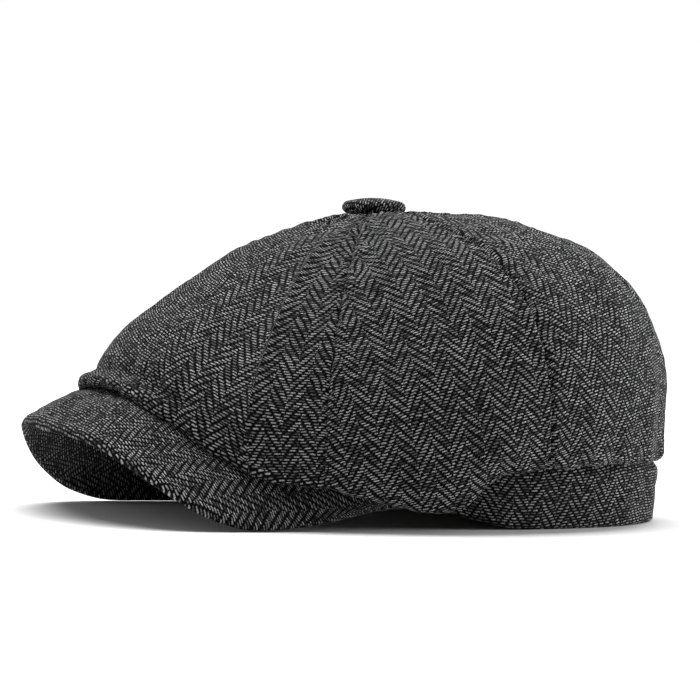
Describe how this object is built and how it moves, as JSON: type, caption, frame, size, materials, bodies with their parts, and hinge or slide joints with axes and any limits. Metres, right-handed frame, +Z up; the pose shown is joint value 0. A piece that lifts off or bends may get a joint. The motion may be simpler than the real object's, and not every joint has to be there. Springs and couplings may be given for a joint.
{
  "type": "newsboy cap",
  "caption": "Soft newsboy cap in herringbone tweed: a full panelled crown with a covered button, a head band and a short arched peak.",
  "frame": {"origin": "under the middle of the cap's bounding box, on the table it lies on", "axes": "+Z up, the peak points to -Y, the wearer's left is +X"},
  "size_m": [0.2494, 0.2734, 0.1353],
  "materials": {
    "tweed": "rough herringbone wool, charcoal warp with light grey weft"
  },
  "bodies": {
    "root": {"panel_front": "tweed", "panel_front_left": "tweed", "panel_left": "tweed", "panel_back_left": "tweed", "panel_back": "tweed", "panel_back_right": "tweed", "panel_right": "tweed", "panel_front_right": "tweed", "band": "tweed", "peak": "tweed", "button": "tweed"}
  },
  "joints": []
}
